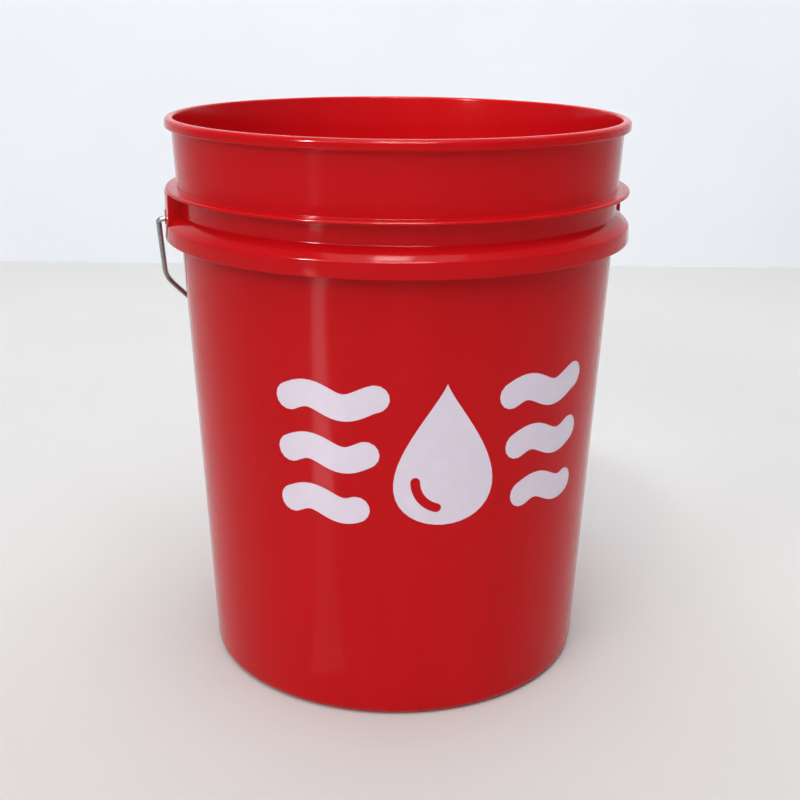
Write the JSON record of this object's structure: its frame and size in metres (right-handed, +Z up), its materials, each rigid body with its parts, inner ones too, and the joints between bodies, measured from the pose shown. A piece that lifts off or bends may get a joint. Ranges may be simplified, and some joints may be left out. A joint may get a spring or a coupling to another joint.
{
  "type": "bucket",
  "caption": "Tapered wash bucket with a rolled rim, a stacking flange and skirt, and a wire bail with a hand grip that swings from two side lugs.",
  "frame": {"origin": "centre of the flat foot ring that the bucket stands on", "axes": "+Z up along the bucket's axis, +X through the right-hand lug along the bail's swing axis, -Y the printed front, +Y the back where the bail hangs"},
  "size_m": [0.3168, 0.3122, 0.368],
  "materials": {
    "red_plastic": "semi-gloss moulded polyethylene",
    "galvanised_wire": "zinc-plated drawn wire",
    "grip_plastic": "satin moulded polyethylene",
    "print_ink": "flat screen-printed ink"
  },
  "bodies": {
    "pail": {"pail": "red_plastic", "printed_graphic": "print_ink"},
    "bail": {"bail": "galvanised_wire"},
    "grip": {"grip": "grip_plastic"}
  },
  "joints": [
    {"name": "bail_swing", "type": "hinge", "parent": "pail", "child": "bail", "pos_m": [0, 0, 0.3042], "axis": [1, 0, 0], "range_deg": [0, 264.1]},
    {"name": "grip_spin", "type": "hinge", "parent": "bail", "child": "grip", "pos_m": [0, 0.14849, 0.17034], "axis": [1, 0, 0], "continuous": true}
  ]
}
